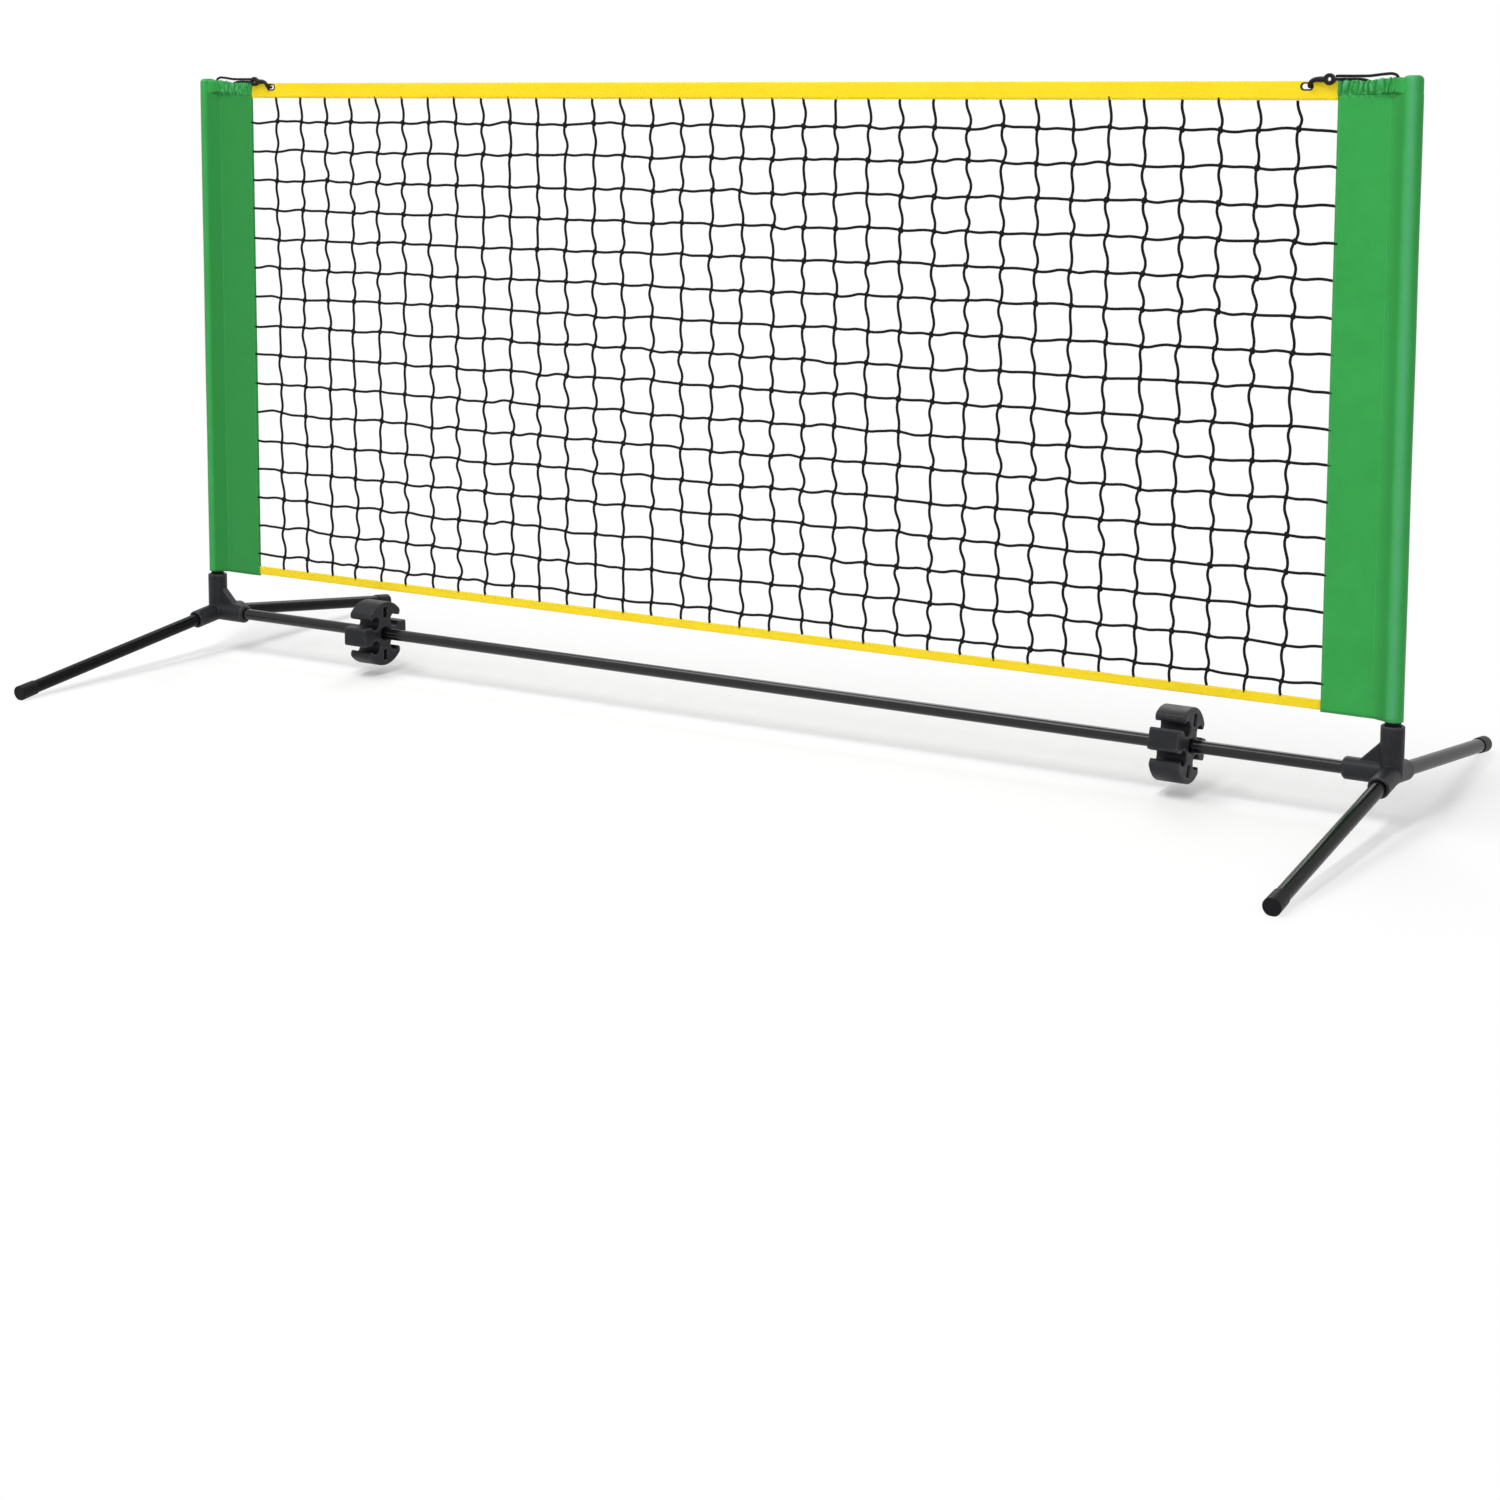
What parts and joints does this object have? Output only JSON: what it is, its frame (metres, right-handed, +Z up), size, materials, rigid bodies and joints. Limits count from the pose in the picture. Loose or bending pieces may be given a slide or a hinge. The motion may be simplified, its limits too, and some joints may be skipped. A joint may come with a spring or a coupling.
{
  "type": "portable court net",
  "caption": "Free-standing low court net: mesh with yellow tapes and cloth sleeves over tube posts, on a crossbar with splayed plug-in legs and turning tube clips.",
  "frame": {"origin": "on the floor, under the middle of the crossbar, at the bottom centre of the bounding box", "axes": "+X along the net, +Y from front to back across the net, +Z up"},
  "size_m": [1.834, 0.8008, 0.8633],
  "materials": {
    "moulded_black": "moulded, slightly glossy",
    "leg_cap_black": "moulded, satin",
    "tube_black": "semi-gloss powder coat",
    "bare_steel": "plain drawn tube",
    "green_cloth": "coated woven polyester with a soft sheen",
    "yellow_tape": "coated webbing, folded and sewn",
    "black_twine": "knotted twine",
    "elastic_black": "braided cover",
    "hook_black": "moulded",
    "eyelet_black": "black lacquer"
  },
  "bodies": {
    "base": {"left_hub": "moulded_black", "right_hub": "moulded_black", "left_crossbar_tube": "tube_black", "middle_crossbar_tube": "tube_black", "right_crossbar_tube": "tube_black", "left_crossbar_ferrule": "bare_steel", "right_crossbar_ferrule": "bare_steel"},
    "posts": {"left_lower_post": "tube_black", "left_upper_post": "tube_black", "left_post_ferrule": "bare_steel", "left_post_cap": "moulded_black", "right_lower_post": "tube_black", "right_upper_post": "tube_black", "right_post_ferrule": "bare_steel", "right_post_cap": "moulded_black"},
    "net": {"left_sleeve": "green_cloth", "right_sleeve": "green_cloth", "left_drawcord_hem": "green_cloth", "right_drawcord_hem": "green_cloth", "top_tape": "yellow_tape", "bottom_tape": "yellow_tape", "net_mesh": "black_twine", "left_eyelet": "eyelet_black", "right_eyelet": "eyelet_black", "left_elastic_cord": "elastic_black", "right_elastic_cord": "elastic_black"},
    "left_hook": {"left_hook": "hook_black"},
    "right_hook": {"right_hook": "hook_black"},
    "left_tube_clip": {"left_tube_clip": "moulded_black"},
    "right_tube_clip": {"right_tube_clip": "moulded_black"},
    "left_front_leg": {"left_front_leg": "tube_black", "left_front_leg_cap": "leg_cap_black"},
    "left_back_leg": {"left_back_leg": "tube_black", "left_back_leg_cap": "leg_cap_black"},
    "right_front_leg": {"right_front_leg": "tube_black", "right_front_leg_cap": "leg_cap_black"},
    "right_back_leg": {"right_back_leg": "tube_black", "right_back_leg_cap": "leg_cap_black"}
  },
  "joints": [
    {"name": "posts_lift", "type": "slide", "parent": "base", "child": "posts", "axis": [0, 0, 1], "range_m": [0, 0.039]},
    {"name": "net_lift", "type": "slide", "parent": "posts", "child": "net", "axis": [0, 0, 1], "range_m": [0, 0.74]},
    {"name": "left_hook_pull", "type": "slide", "parent": "net", "child": "left_hook", "axis": [1, 0, 0], "range_m": [0, 0.006], "stiffness_N_per_m": 60, "springref_m": -0.03, "deforming": ["left_elastic_cord"]},
    {"name": "right_hook_pull", "type": "slide", "parent": "net", "child": "right_hook", "axis": [-1, 0, 0], "range_m": [0, 0.006], "stiffness_N_per_m": 60, "springref_m": -0.03, "deforming": ["right_elastic_cord"]},
    {"name": "left_front_leg_pull", "type": "slide", "parent": "base", "child": "left_front_leg", "axis": [0, -0.9921, -0.1252], "range_m": [0, 0.032]},
    {"name": "left_back_leg_pull", "type": "slide", "parent": "base", "child": "left_back_leg", "axis": [0, 0.9921, -0.1252], "range_m": [0, 0.032]},
    {"name": "right_front_leg_pull", "type": "slide", "parent": "base", "child": "right_front_leg", "axis": [0, -0.9921, -0.1252], "range_m": [0, 0.032]},
    {"name": "right_back_leg_pull", "type": "slide", "parent": "base", "child": "right_back_leg", "axis": [0, 0.9921, -0.1252], "range_m": [0, 0.032]},
    {"name": "left_clip_turn", "type": "hinge", "parent": "base", "child": "left_tube_clip", "pos_m": [-0.598, 0, 0.06], "axis": [1, 0, 0], "continuous": true},
    {"name": "right_clip_turn", "type": "hinge", "parent": "base", "child": "right_tube_clip", "pos_m": [0.64, 0, 0.06], "axis": [1, 0, 0], "continuous": true}
  ]
}
